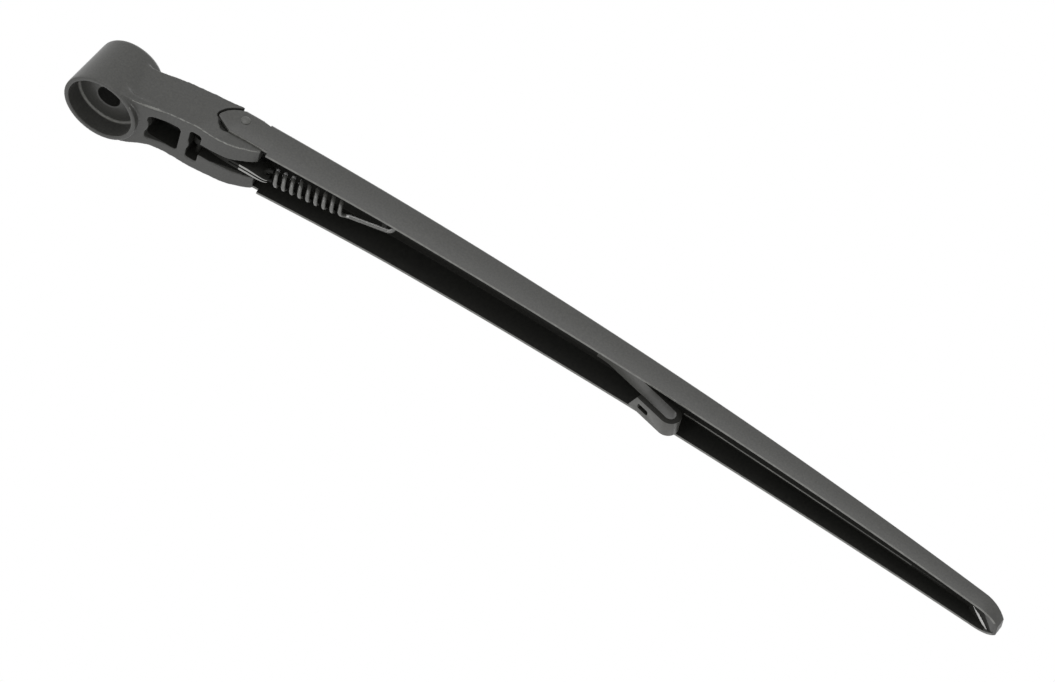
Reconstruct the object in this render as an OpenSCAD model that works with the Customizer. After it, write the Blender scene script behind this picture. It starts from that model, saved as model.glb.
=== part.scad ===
// Windscreen wiper arm: cast mounting head, pressed steel channel arm hinged to it,
// tension spring with its link, and the hook strip that carries the wiper blade.
// Millimetres. Origin on the spindle axis at the floor of the cup. +X runs towards
// the tip, +Z away from the glass.

/* [Spindle hub] */
// Diameter of the bore that grips the wiper spindle
bore_d = 10.6; // [8:0.1:12]
// Length of that bore
bore_len = 11; // [8:0.5:13]
// Diameter of the round recess for the spindle nut
nut_d = 20; // [16:0.5:21]
// Depth of the nut recess
nut_depth = 9; // [6:0.5:10]
// Outside diameter of the hub at its lower rim
hub_rim_d = 35.7; // [34:0.1:38]
// Outside diameter of the hub near its top
hub_top_d = 29.2; // [27:0.1:31]
// Diameter of the cup under the hub
cup_d = 31.2; // [28:0.1:32]
// Depth of that cup
cup_depth = 9; // [6:0.5:11]

/* [Cast head] */
// Full width of the head across its flanks
head_w = 29.6; // [29.4:0.1:31]
// Height of the head's top over the cup floor, at the hinge
head_top = 20.2; // [19.8:0.1:20.4]
// Depth of the lightening pockets, measured up from the underside
pocket_depth = 11; // [6:0.5:12]
// Length of the front pocket along the arm
window_len = 15; // [8:0.5:15]
// Width of that pocket
window_w = 14.5; // [8:0.5:17]
// Width of the slot between the two prongs
slot_w = 7.6; // [6.4:0.1:9]
// Width of the cross slot that holds the link pin
cross_w = 18.4; // [14:0.2:20]

/* [Hinge and spring link] */
// Distance from the spindle axis to the hinge axis
hinge_x = 57.7; // [57:0.1:59]
// Height of the hinge axis over the cup floor
hinge_z = 14.4; // [14:0.1:14.8]
// Diameter of the hinge rivet's shank
rivet_d = 4; // [3.4:0.1:4.4]
// Diameter of its two heads
rivet_head_d = 5.8; // [5.2:0.1:7]
// Running clearance round the rivet in the cast head, on the radius
run_gap = 0.05; // [0.02:0.01:0.1]
// Diameter of the pin that holds the spring link
pin_d = 3.2; // [2.8:0.1:3.4]
// Thickness of each plate of the link
link_plate = 1.3; // [1:0.1:1.5]
// Gap between the link's two plates
link_gap = 1; // [0.8:0.1:1.4]

/* [Tension spring] */
// Diameter of the spring wire
wire_d = 1.9; // [1.6:0.1:2.1]
// Diameter of the coils, to the middle of the wire
coil_d = 6.4; // [6.4:0.1:7]
// Number of turns
turns = 8; // [7:1:9]
// Length of the coiled part
coil_len = 32.5; // [30:0.5:36]

/* [Channel arm] */
// Distance from the spindle axis to the tip of the arm
arm_reach = 452; // [440:1:480]
// Sheet thickness of the channel
wall = 1.3; // [1:0.1:1.5]
// Width of the channel at the hinge end
base_w = 29.4; // [29:0.1:30]
// Width of the channel where the nose begins
tip_w = 15; // [12:0.5:18]
// Side height of the channel at the hinge end
base_h = 14.4; // [14.2:0.1:14.6]
// Side height where the nose begins
tip_h = 8; // [7:0.5:9]
// Outside radius of the bends along the channel
bend_r = 2.3; // [2:0.1:3]
// Radius of the arm's bow towards the glass
bow_r = 3120; // [2900:10:4000]

/* [Blade hook] */
// Width of the hook strip
strap_w = 9; // [7:0.5:10]
// Thickness of the hook strip
strap_t = 2.5; // [2:0.1:3]
// Clear gap inside the hook
hook_gap = 5.4; // [5:0.1:6.5]
// Length of the hook's lower leg
hook_leg = 17; // [15:0.5:19]
// Angle by which the hook dips out of the channel
hook_dip = 13.8; // [12:0.1:15]
// Length of the slot in the lower leg
slot_len = 5.4; // [4:0.1:6]
// Width of that slot
slot_wide = 2.6; // [2:0.1:3]

/* [Hidden] */
$fn = 64;
eps = 0.01;
cast_grey = "#4a4a4c";
steel_grey = "#3f3f42";
bright_steel = "#8c8c90";

// Hub heights
rim_z = -cup_depth;
hub_top_z = bore_len + nut_depth;

// Ear at the hinge end of the channel, and the room it turns in
ear_r = 6.7;
ear_dx = 3.7;
ear_dz = -2.3;
ear_gap = 0.7;
ear_swing = norm([ear_dx, ear_dz]) + ear_r + ear_gap;
side_gap = 0.2;
top_cut_x = hinge_x + 10.6;
under_z = -1.5;
prong_end = hinge_x + 14.8;
nose_end = top_cut_x - 2;

// The sides hang a little deeper behind the hinge, up to a step under the ear
skirt_drop = 1.6;
skirt_len = 80;
step_x = prong_end + 1.6;
ear_foot = 1.2;

// Channel: where it starts, where its nose starts, and its bow
chan_x0 = hinge_x - ear_dx - ear_r;
nose_len = 13;
nose_x0 = arm_reach - nose_len;
bow_x = 165;
bow_z = 7.05;
function bez(t, a, b, c, d) =
    a * pow(1 - t, 3) + 3 * b * t * pow(1 - t, 2) + 3 * c * t * t * (1 - t) + d * pow(t, 3);
function along(x) = (x - chan_x0) / (nose_x0 - chan_x0);
function bow_line(x) = bow_z - pow(x - bow_x, 2) / (2 * bow_r);
function deeper(x) = skirt_drop * pow(max(0, 1 - (x - chan_x0) / skirt_len), 1.4);
function floor_z(x) = bow_line(x) - deeper(x);
function body_half(x) = bez(along(x), base_w, base_w - 6.6, tip_w + 10, tip_w) / 2;
function side_h(x) = bez(along(x), base_h, base_h + 0.8, tip_h + 2.5, tip_h) + deeper(x);
function into_nose(x) = max(0, (x - nose_x0) / nose_len);
function nose_round(x) = sqrt(max(0, 1 - pow(into_nose(x) * 0.94, 2.4)));
function half_w(x) = body_half(min(x, nose_x0)) * nose_round(x);
function nose_drop(x) = 0.34 * side_h(nose_x0) * pow(into_nose(x), 2);
function high(x) = side_h(min(x, nose_x0)) - nose_drop(x);
function roof_z(x) = floor_z(x) + high(x);

// Link pin and spring line, from the pin to the anchor lug on the hook strip
pin_x = hinge_x - 13.9;
pin_z = hinge_z - 9.4;
anchor_x = hinge_x + 73.3;
anchor_z = hinge_z - 1;
line_a = atan2(anchor_z - pin_z, anchor_x - pin_x);
eye_s = 32.3;
eye_r = wire_d / 2 + 0.35;
link_t = 2 * link_plate + link_gap;

// Spring stations along its line, counted from the pin
hook_r = coil_d / 2;
coil_s = eye_s + hook_r + 1;
loop_r = hook_r;
loop_s = norm([anchor_x - pin_x, anchor_z - pin_z]);

// The loop is free to slide this far past the anchor lug, because the lug moves
// away from the link pin as the arm lifts
lug_t = 2.4;
loop_play = 3.3;

// Hook strip stations
strap_x0 = anchor_x - lug_t / 2;
dip_x = anchor_x + 111.3;
dip_r = 60;
upper_leg = 29.4;
fit_gap = 0.1;

// A point on an arc of radius r round c, at angle a, in two dimensions
function on_arc(c, r, a) = [c[0] + r * cos(a), c[1] + r * sin(a)];

// Places a drawing in the XZ plane and gives it a width along Y, centred
module across(width) {
    rotate([90, 0, 0])
        linear_extrude(height = width, center = true)
            children();
}

// A pin along Y through a point of the XZ plane
module cross_pin(x, z, d, length) {
    translate([x, 0, z])
        rotate([90, 0, 0])
            cylinder(d = d, h = length, center = true);
}

// A rectangle with round corners
module soft_box(x0, x1, y0, y1, r) {
    translate([x0 + r, y0 + r])
        square([x1 - x0 - 2 * r, y1 - y0 - 2 * r]);
    translate([x0, y0 + r])
        square([x1 - x0, y1 - y0 - 2 * r]);
    translate([x0 + r, y0])
        square([x1 - x0 - 2 * r, y1 - y0]);
    for (x = [x0 + r, x1 - r], y = [y0 + r, y1 - r])
        translate([x, y])
            circle(r = r, $fn = 24);
}

// Hub of revolution with a soft upper edge
module hub_solid() {
    edge = 3;
    r0 = hub_rim_d / 2;
    r1 = hub_top_d / 2;
    rotate_extrude($fn = 96)
        polygon(concat(
            [[0, rim_z], [r0 - 0.6, rim_z], [r0, rim_z + 0.6], [r0, rim_z + 2]],
            [for (a = [0 : 15 : 90]) on_arc([r1 - edge, hub_top_z - edge], edge, a)],
            [[0, hub_top_z]]));
}

// Side view of the cast body, from the hub to the prongs
module head_side() {
    polygon(concat(
        [[0, rim_z + 1.2], [11, rim_z + 1.6], [13.5, rim_z + 3.4], [16, -4.9], [20.5, -3.4],
         [28.4, -2.4], [36, -1.9], [44, under_z], [hinge_x - 5, under_z + 0.3],
         [hinge_x, under_z + 0.9], [hinge_x + 4.5, under_z + 2], [hinge_x + 9, under_z + 3.9],
         [prong_end - 1.7, under_z + 6.2]],
        [for (a = [-60 : 30 : 0]) on_arc([prong_end - 1.5, under_z + 7.8], 1.5, a)],
        [[prong_end, roof_z(prong_end) - wall - 1.6],
         [prong_end - 1, roof_z(prong_end) - wall - 0.6],
         [nose_end, roof_z(nose_end) - wall - 0.6],
         [nose_end, head_top - 0.8], [nose_end - 4, head_top + 0.4],
         [hinge_x, head_top + 0.4], [53, head_top - 0.3], [48, head_top - 1.2], [37, head_top - 2.1],
         [29, head_top - 2.8], [22, head_top - 3.8], [14, head_top - 5], [0, head_top - 5.8]]));
}

// Plan of the cast body
module head_plan() {
    h = head_w / 2;
    inner = half_w(prong_end) - wall - side_gap;
    polygon([[0, 13.6], [6, 13.8], [10, 13.6], [14, 13.2], [18, 13.1], [22, 13.2], [28, 13.7],
             [36, 14.5], [42, h], [47, h],
             [nose_end, h], [nose_end, inner], [prong_end, inner],
             [prong_end, -inner], [nose_end, -inner], [nose_end, -h],
             [47, -h], [42, -h], [36, -14.5], [28, -13.7], [22, -13.2], [18, -13.1],
             [14, -13.2], [10, -13.6], [6, -13.8], [0, -13.6]]);
}

// Where the channel's ear lies against the flank and turns
module ear_room(side) {
    inner = half_w(prong_end) - wall - side_gap;
    low = -6;
    translate([0, side * (inner + 10), 0])
        across(20)
            union() {
                translate([hinge_x, hinge_z])
                    circle(r = ear_swing, $fn = 96);
                translate([hinge_x, low])
                    square([30, head_top - low + 20]);
                translate([hinge_x - ear_dx, hinge_z])
                    square([ear_dx + 1, 10]);
            }
}

// Slanted face that draws the flank in below the ear
module flank_slant(side) {
    per_x = 0.24;
    per_z = 0.12;
    from_x = 43.5;
    inner = half_w(prong_end) - wall - side_gap;
    difference() {
        mirror([0, side < 0 ? 1 : 0, 0])
            translate([from_x, head_w / 2, under_z])
                rotate([-atan(per_z), 0, -atan(per_x)])
                    translate([-20, 0, -30])
                        cube([80, 12, 80]);
        translate([0, -inner, -80])
            cube([160, 2 * inner, 160]);
    }
}

// Pockets cast into the underside
module head_pockets() {
    deep = pocket_depth;
    window_x = 35.8 - window_len;
    cross_x = pin_x - 3.7;
    cross_len = 5.6;
    translate([0, 0, -6])
        linear_extrude(height = deep + 4)
            difference() {
                soft_box(window_x, window_x + window_len, -window_w / 2, window_w / 2, 2);
                translate([window_x - 7.2, 0])
                    circle(r = 8.2);
            }
    translate([0, 0, -6])
        linear_extrude(height = deep + 8)
            soft_box(cross_x, cross_x + cross_len, -cross_w / 2, cross_w / 2, 1.5);
    translate([0, 0, -6])
        linear_extrude(height = hinge_z + 6 + 2)
            union() {
                translate([cross_x + 3, -slot_w / 2])
                    square([40, slot_w]);
                polygon([[prong_end - 14, slot_w / 2 - eps], [prong_end - 4, slot_w / 2 + 1.4],
                         [prong_end + 1, slot_w / 2 + 4], [prong_end + 1, -slot_w / 2 - 4],
                         [prong_end - 4, -slot_w / 2 - 1.4], [prong_end - 14, -slot_w / 2 + eps]]);
            }
    translate([hinge_x + 3.4, -slot_w / 2, -6])
        cube([prong_end - hinge_x, slot_w, head_top + 20]);
}

// Cast mounting head
module mounting_head() {
    color(cast_grey)
        difference() {
            union() {
                hub_solid();
                intersection() {
                    across(60)
                        head_side();
                    translate([0, 0, -20])
                        linear_extrude(height = 60)
                            head_plan();
                }
            }
            translate([0, 0, rim_z - 1])
                cylinder(d = cup_d, h = cup_depth + 1, $fn = 96);
            translate([0, 0, -1])
                cylinder(d = bore_d, h = bore_len + 2);
            translate([0, 0, bore_len])
                cylinder(d = nut_d, h = nut_depth + 10);
            head_pockets();
            for (side = [-1, 1]) {
                ear_room(side);
                flank_slant(side);
            }
            cross_pin(hinge_x, hinge_z, rivet_d + 2 * run_gap, 60);
            translate([pin_x, 0, pin_z])
                rotate([-90, 0, 0])
                    translate([0, 0, -cross_w / 2 - 2])
                        cylinder(d = pin_d, h = 40);
        }
}

// Outline of the channel's outside or inside skin at station x, left foot to right foot
function skin(x, inset, floor_part, roof_part) =
    let (h = max(0.3, half_w(x) - inset),
         top = floor_z(x) + floor_part + (high(x) - inset - floor_part) * roof_part,
         r = max(0.2, min(bend_r - inset, h * 0.8, (top - floor_z(x)) * 0.8)))
    concat([[x, -h, floor_z(x)]],
           [for (a = [180 : -18 : 90]) [x, -h + r + r * cos(a), top - r + r * sin(a)]],
           [for (a = [90 : -18 : 0]) [x, h - r + r * cos(a), top - r + r * sin(a)]],
           [[x, h, floor_z(x)]]);

// Closed U-shaped shell of sheet metal with a solid, rounded nose
module channel_shell() {
    n = 14;
    body = [for (i = [0 : 24]) chan_x0 + (nose_x0 - chan_x0) * i / 24];
    nose = [for (i = [1 : 7]) nose_x0 + nose_len * sin(i * 90 / 7)];
    xs = concat(body, nose);
    last = len(xs) - 1;
    solid_from = last - 3;
    roof_part = [for (i = [0 : last]) i <= 24 ? 1 : 1 - 0.8 * pow((i - 24) / (solid_from - 24), 2)];
    outer = [for (x = xs) each skin(x, 0, 0, 1)];
    inner = [for (i = [0 : solid_from]) each skin(xs[i], wall, 0, roof_part[i])];
    o = function (i, k) i * n + k;
    m = function (i, k) len(outer) + i * n + k;
    faces = concat(
        [concat([for (k = [0 : n - 1]) o(0, k)], [for (k = [n - 1 : -1 : 0]) m(0, k)])],
        [for (i = [0 : last - 1], k = [0 : n - 2]) each
            [[o(i, k), o(i + 1, k), o(i + 1, k + 1)], [o(i, k), o(i + 1, k + 1), o(i, k + 1)]]],
        [for (i = [0 : solid_from - 1], k = [0 : n - 2]) each
            [[m(i, k), m(i + 1, k + 1), m(i + 1, k)], [m(i, k), m(i, k + 1), m(i + 1, k + 1)]]],
        [for (i = [0 : solid_from - 1]) each
            [[o(i, 0), m(i, 0), m(i + 1, 0)], [o(i, 0), m(i + 1, 0), o(i + 1, 0)],
             [o(i, n - 1), m(i + 1, n - 1), m(i, n - 1)],
             [o(i, n - 1), o(i + 1, n - 1), m(i + 1, n - 1)]]],
        [[for (k = [0 : n - 1]) m(solid_from, k)]],
        [[o(solid_from, 0), m(solid_from, 0), o(solid_from + 1, 0)],
         [m(solid_from, 0), m(solid_from, n - 1), o(solid_from + 1, 0)],
         [m(solid_from, n - 1), o(solid_from + 1, n - 1), o(solid_from + 1, 0)],
         [m(solid_from, n - 1), o(solid_from, n - 1), o(solid_from + 1, n - 1)]],
        [for (i = [solid_from + 1 : last - 1]) each
            [[o(i, 0), o(i, n - 1), o(i + 1, n - 1)], [o(i, 0), o(i + 1, n - 1), o(i + 1, 0)]]],
        [[for (k = [n - 1 : -1 : 0]) o(last, k)]]);
    polyhedron(points = concat(outer, inner), faces = faces, convexity = 6);
}

// Pressed channel with its two round ears
module arm_channel() {
    ear_x = hinge_x - ear_dx;
    ear_z = hinge_z + ear_dz;
    color(steel_grey)
        difference() {
            channel_shell();
            translate([chan_x0 - 5, -half_w(top_cut_x) + wall, -10])
                cube([top_cut_x - chan_x0 + 5, 2 * (half_w(top_cut_x) - wall), 60]);
            across(80)
                difference() {
                    translate([chan_x0 - 10, ear_z - 30])
                        square([ear_x - chan_x0 + 10, 60]);
                    translate([ear_x, ear_z])
                        circle(r = ear_r, $fn = 96);
                }
            across(80)
                polygon([[chan_x0 - 5, -10], [step_x, -10], [step_x, bow_line(step_x) + ear_foot],
                         [chan_x0 - 5, bow_line(chan_x0 - 5) + ear_foot]]);
            cross_pin(hinge_x, hinge_z, rivet_d, 80);
        }
}

// Headed rivet that the arm turns on
module hinge_rivet() {
    reach = half_w(hinge_x) + 0.1;
    head_t = 1;
    color(steel_grey)
        union() {
            cross_pin(hinge_x, hinge_z, rivet_d, 2 * reach + head_t);
            for (side = [-1, 1])
                translate([hinge_x, side * reach, hinge_z])
                    rotate([-side * 90, 0, 0])
                        rotate_extrude()
                            polygon([[0, 0], [rivet_head_d / 2, 0],
                                     [rivet_head_d / 2 - 0.3, head_t * 0.5],
                                     [rivet_head_d / 2 - 1.1, head_t], [0, head_t]]);
        }
}

// Straight pin across the cast head, for the spring link
module link_pin() {
    near_end = -cross_w / 2 - 2;
    far_end = head_w / 2 - 0.4;
    color(bright_steel)
        translate([pin_x, near_end, pin_z])
            rotate([-90, 0, 0])
                cylinder(d = pin_d - 0.02, h = far_end - near_end);
}

// Side view of the link: it hooks over the pin, dips under the rivet and ends in an eye
module link_outline() {
    e = eye_s;
    open_up = pin_d + 5;
    difference() {
        union() {
            circle(r = pin_d / 2 + 1.7);
            polygon([[0, -3.3], [7, -4.1], [15, -4.7], [e - 7.6, -5.5], [e + 0.4, -6.3],
                     [e + 2.2, -5.6], [e + 2.8, -4], [e + 2.8, 1.4], [e + 2, 2.6], [e + 0.4, 3],
                     [e - 2.6, 2.9], [e - 5.6, 2], [e - 8.2, 0.4], [e - 10.2, -1.4],
                     [e - 12.2, -2.3], [16.6, -2.6], [13, -2.3], [9.4, -1.1], [6, 1],
                     [3.2, 2.4], [1.8, 2.8]]);
        }
        circle(r = pin_d / 2 + 0.15);
        translate([eye_s, 0])
            circle(r = eye_r, $fn = 32);
        translate([-pin_d / 2 + 0.5, 0])
            square([pin_d - 1, open_up]);
    }
}

// Folded link between the pin and the spring
module spring_link() {
    color(bright_steel)
        translate([pin_x, 0, pin_z])
            rotate([0, -line_a, 0])
                difference() {
                    across(link_t)
                        link_outline();
                    translate([eye_s - 17.3, -link_gap / 2, -coil_d * 3])
                        cube([eye_s, link_gap, coil_d * 6]);
                }
}

// Middle of the spring wire, along the spring's own line
function spring_path() =
    let (per = 14, r = coil_d / 2, s0 = coil_s, pitch = coil_len / turns,
         loop_end = loop_s + lug_t / 2 + loop_play + wire_d / 2)
    concat(
        [[eye_s + hook_r + 2.6, -r, 0]],
        [for (a = [-90 : -15 : -270]) [eye_s + hook_r + hook_r * cos(a), hook_r * sin(a), 0]],
        [for (i = [0 : per * turns])
            let (a = 90 - 360 * i / per)
            [s0 + pitch * i / per, r * sin(a), r * cos(a)]],
        [[s0 + coil_len + 1.8, r + 0.1, -0.3], [s0 + coil_len + 4, loop_r, 0]],
        [for (a = [90 : -15 : -90]) [loop_end - loop_r + loop_r * cos(a), loop_r * sin(a), 0]],
        [[s0 + coil_len + 5, -loop_r, 0], [s0 + coil_len + 3, -loop_r, 0]]);

// A tube of eight sides along a list of points
module wire(path, d) {
    sides = 8;
    count = len(path);
    dir = [for (i = [0 : count - 1])
        let (v = path[min(i + 1, count - 1)] - path[max(i - 1, 0)]) v / norm(v)];
    ups = [for (i = 0, u = cross(dir[0], [0, 0, 1]); i < count;
            i = i + 1,
            u = i < count ? u - dir[i] * (u * dir[i]) : u) u / norm(u)];
    points = [for (i = [0 : count - 1], k = [0 : sides - 1])
        let (u = ups[i], w = cross(dir[i], u), a = 360 * k / sides)
        path[i] + (u * cos(a) + w * sin(a)) * d / 2];
    faces = concat(
        [[for (k = [sides - 1 : -1 : 0]) k]],
        [for (i = [0 : count - 2], k = [0 : sides - 1])
            let (a = i * sides + k, b = i * sides + (k + 1) % sides) each
            [[a, b, b + sides], [a, b + sides, a + sides]]],
        [[for (k = [0 : sides - 1]) (count - 1) * sides + k]]);
    polyhedron(points = points, faces = [for (f = faces) [for (k = [len(f) - 1 : -1 : 0]) f[k]]],
               convexity = 10);
}

// Tension spring with a hook at the link and a long loop at the anchor
module tension_spring() {
    color(bright_steel)
        translate([pin_x, 0, pin_z])
            rotate([0, -line_a, 0])
                wire(spring_path(), wire_d);
}

// Top face of the hook strip under the channel's roof
function strap_top(x) = roof_z(x) - wall - fit_gap;

// Middle line of the hook strip, from the channel to the end of the lower leg
function strap_line() =
    let (z0 = strap_top(dip_x) - strap_t / 2,
         a0 = atan((dip_x - bow_x) / bow_r + 0.02),
         c0 = [dip_x - dip_r * sin(a0), z0 - dip_r * cos(a0)],
         down = [cos(hook_dip), -sin(hook_dip)],
         inward = [-sin(hook_dip), -cos(hook_dip)],
         bend = (hook_gap + strap_t) / 2,
         turn = c0 + dip_r * [sin(hook_dip), cos(hook_dip)] + upper_leg * down,
         c = turn + bend * inward)
    concat(
        [for (i = [0 : 11])
            let (x = strap_x0 + (dip_x - 2 - strap_x0) * i / 11) [x, strap_top(x) - strap_t / 2]],
        [for (i = [0 : 4])
            let (a = a0 + (hook_dip - a0) * i / 4) c0 + dip_r * [sin(a), cos(a)]],
        [for (a = [90 : -15 : -90]) on_arc(c, bend, a - hook_dip)],
        [c + bend * inward - hook_leg * down]);

// Band of constant thickness along a line in two dimensions
module band(line, t) {
    count = len(line);
    n = [for (i = [0 : count - 1])
        let (v = line[min(i + 1, count - 1)] - line[max(i - 1, 0)]) [-v[1], v[0]] / norm(v)];
    polygon(concat(
        [for (i = [0 : count - 1]) line[i] + n[i] * t / 2],
        [for (i = [count - 1 : -1 : 0]) line[i] - n[i] * t / 2]));
}

// Hook strip with the spring's anchor lug at one end and the blade hook at the other
module hook_strap() {
    line = strap_line();
    foot = line[len(line) - 1];
    back = [cos(hook_dip), -sin(hook_dip)];
    mid = foot + back * (hook_leg * 0.5);
    lug_w = 2 * loop_r - wire_d - 1.8;
    lug_low = anchor_z - wire_d / 2 - 1.2;
    color(steel_grey)
        difference() {
            union() {
                across(strap_w)
                    band(line, strap_t);
                translate([strap_x0, -lug_w / 2, lug_low])
                    cube([lug_t, lug_w, strap_top(strap_x0) - strap_t / 2 - lug_low]);
            }
            translate([mid[0], 0, mid[1]])
                rotate([0, hook_dip, 0])
                    translate([0, 0, -5])
                        linear_extrude(height = 10)
                            soft_box(-slot_len / 2, slot_len / 2, -slot_wide / 2, slot_wide / 2, 0.8);
        }
}

mounting_head();
arm_channel();
hinge_rivet();
link_pin();
spring_link();
tension_spring();
hook_strap();
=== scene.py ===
import math
import bpy
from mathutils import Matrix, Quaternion, Vector


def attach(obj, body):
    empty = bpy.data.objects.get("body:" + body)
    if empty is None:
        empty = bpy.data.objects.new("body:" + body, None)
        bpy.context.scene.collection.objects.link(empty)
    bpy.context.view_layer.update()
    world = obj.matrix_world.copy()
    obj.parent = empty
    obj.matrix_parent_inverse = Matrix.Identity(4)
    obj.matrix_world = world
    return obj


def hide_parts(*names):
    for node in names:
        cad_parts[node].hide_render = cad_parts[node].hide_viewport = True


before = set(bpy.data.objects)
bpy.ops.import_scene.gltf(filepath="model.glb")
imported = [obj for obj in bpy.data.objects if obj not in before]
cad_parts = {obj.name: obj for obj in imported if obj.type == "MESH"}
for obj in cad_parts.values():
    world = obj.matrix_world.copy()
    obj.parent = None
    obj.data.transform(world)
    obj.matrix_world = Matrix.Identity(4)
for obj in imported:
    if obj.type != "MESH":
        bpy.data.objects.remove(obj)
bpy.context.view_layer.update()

mm = 0.001


# Camera: looks up at the underside of the arm, which is how the arm was photographed.

viewSetup = {
    "right": (0.846, -0.156, 0.509),    # image right, in the arm's own axes
    "down": (0.498, 0.570, -0.653),     # image down
    "mmPerPixel": 0.43,
    "originPixel": (110.15, 95.3),      # where the spindle axis meets the cup floor
    "imageSize": (1055, 682),
    "lens": 800,                        # long lens, nearly parallel view
    "sensor": 36,
}


def makeCamera():
    right = Vector(viewSetup["right"]).normalized()
    down = Vector(viewSetup["down"])
    down = (down - right * down.dot(right)).normalized()
    back = right.cross(-down)
    wide, high = viewSetup["imageSize"]
    step = viewSetup["mmPerPixel"] * mm
    distance = wide * step * viewSetup["lens"] / viewSetup["sensor"]
    originX, originY = viewSetup["originPixel"]
    aim = right * (wide / 2 - originX) * step + down * (high / 2 - originY) * step
    bpy.ops.object.camera_add(location=aim + back * distance)
    cam = bpy.context.object
    cam.name = "photoCamera"
    cam.data.lens = viewSetup["lens"]
    cam.data.sensor_width = viewSetup["sensor"]
    cam.data.clip_start = 0.1
    cam.data.clip_end = 60
    cam.data.dof.use_dof = False
    cam.rotation_mode = "QUATERNION"
    cam.rotation_quaternion = back.to_track_quat("Z", "Y")
    # to_track_quat leaves the roll free, so the up direction is set from the photo's own down direction
    up = cam.rotation_quaternion @ Vector((0, 1, 0))
    roll = math.atan2(up.cross(-down).dot(back), up.dot(-down))
    cam.rotation_quaternion = Quaternion(back, roll) @ cam.rotation_quaternion
    bpy.context.scene.camera = cam


makeCamera()
print("camera ready")


# Small helpers

def ramp(value):
    # held between 0 and 1
    return min(1, max(0, value))


def linear(hexCode):
    parts = [int(hexCode[i:i + 2], 16) / 255 for i in (1, 3, 5)]
    return [c / 12.92 if c <= 0.04045 else ((c + 0.055) / 1.055) ** 2.4 for c in parts] + [1]


def addNode(tree, kind, settings=None, links=None):
    node = tree.nodes.new(kind)
    for key, value in (settings or {}).items():
        if key in node.inputs.keys():
            node.inputs[key].default_value = value
        elif isinstance(key, int):
            node.inputs[key].default_value = value
        else:
            setattr(node, key, value)
    for key, source in (links or {}).items():
        tree.links.new(source, node.inputs[key])
    return node


def deselectAll():
    if bpy.context.object and bpy.context.object.mode != "OBJECT":
        bpy.ops.object.mode_set(mode="OBJECT")
    bpy.ops.object.select_all(action="DESELECT")


def makeActive(piece):
    deselectAll()
    piece.select_set(True)
    bpy.context.view_layer.objects.active = piece


def pickFaces(piece, test):
    # leaves the piece in edit mode with only the wanted faces selected
    makeActive(piece)
    bpy.ops.object.mode_set(mode="EDIT")
    bpy.ops.mesh.select_mode(type="FACE")
    bpy.ops.mesh.select_all(action="DESELECT")
    bpy.ops.object.mode_set(mode="OBJECT")
    for face in piece.data.polygons:
        face.select = bool(test(face.center, face.normal))
    bpy.ops.object.mode_set(mode="EDIT")


def pickEnd(piece, x):
    # leaves the piece in edit mode with only the edges beyond x selected, in millimetres
    makeActive(piece)
    bpy.ops.object.mode_set(mode="EDIT")
    bpy.ops.mesh.select_mode(type="EDGE")
    bpy.ops.mesh.select_all(action="DESELECT")
    bpy.ops.object.mode_set(mode="OBJECT")
    for edge in piece.data.edges:
        edge.select = all(piece.data.vertices[i].co.x > (x - 0.05) * mm for i in edge.vertices)
    bpy.ops.object.mode_set(mode="EDIT")


def useModifier(piece, kind, **settings):
    makeActive(piece)
    mod = piece.modifiers.new("step", kind)
    for key, value in settings.items():
        setattr(mod, key, value)
    bpy.ops.object.modifier_apply(modifier=mod.name)


def cutWith(piece, cutter, how="DIFFERENCE"):
    useModifier(piece, "BOOLEAN", object=cutter, operation=how, solver="EXACT")
    bpy.data.objects.remove(cutter, do_unlink=True)


def bake(piece):
    makeActive(piece)
    bpy.ops.object.transform_apply(location=True, rotation=True, scale=True)


def box(x0, x1, y0, y1, z0, z1, soft=0):
    # sizes in millimetres; soft rounds the upright edges
    deselectAll()
    bpy.ops.mesh.primitive_cube_add(size=1, location=((x0 + x1) / 2 * mm, (y0 + y1) / 2 * mm, (z0 + z1) / 2 * mm))
    piece = bpy.context.object
    piece.scale = ((x1 - x0) * mm, (y1 - y0) * mm, (z1 - z0) * mm)
    bake(piece)
    if soft:
        makeActive(piece)
        bpy.ops.object.mode_set(mode="EDIT")
        bpy.ops.mesh.select_mode(type="EDGE")
        bpy.ops.mesh.select_all(action="DESELECT")
        bpy.ops.object.mode_set(mode="OBJECT")
        for edge in piece.data.edges:
            a, b = (piece.data.vertices[i].co for i in edge.vertices)
            edge.select = abs(a.z - b.z) > 0.5 * (z1 - z0) * mm
        bpy.ops.object.mode_set(mode="EDIT")
        bpy.ops.mesh.bevel(offset=soft * mm, offset_type="OFFSET", segments=5, affect="EDGES")
        bpy.ops.object.mode_set(mode="OBJECT")
    return piece


def rod(x, z, radius, y0, y1, vertices=64):
    # a round bar along Y, in millimetres
    deselectAll()
    bpy.ops.mesh.primitive_cylinder_add(vertices=vertices, radius=radius * mm, depth=(y1 - y0) * mm,
                                        location=(x * mm, (y0 + y1) / 2 * mm, z * mm), rotation=(math.pi / 2, 0, 0))
    piece = bpy.context.object
    bake(piece)
    return piece


def post(x, y, radius, z0, z1, vertices=96, radiusTop=None):
    # an upright round bar or cone, in millimetres
    deselectAll()
    bpy.ops.mesh.primitive_cone_add(vertices=vertices, radius1=radius * mm, radius2=(radiusTop or radius) * mm,
                                    depth=(z1 - z0) * mm, location=(x * mm, y * mm, (z0 + z1) / 2 * mm))
    piece = bpy.context.object
    bake(piece)
    return piece


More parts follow.
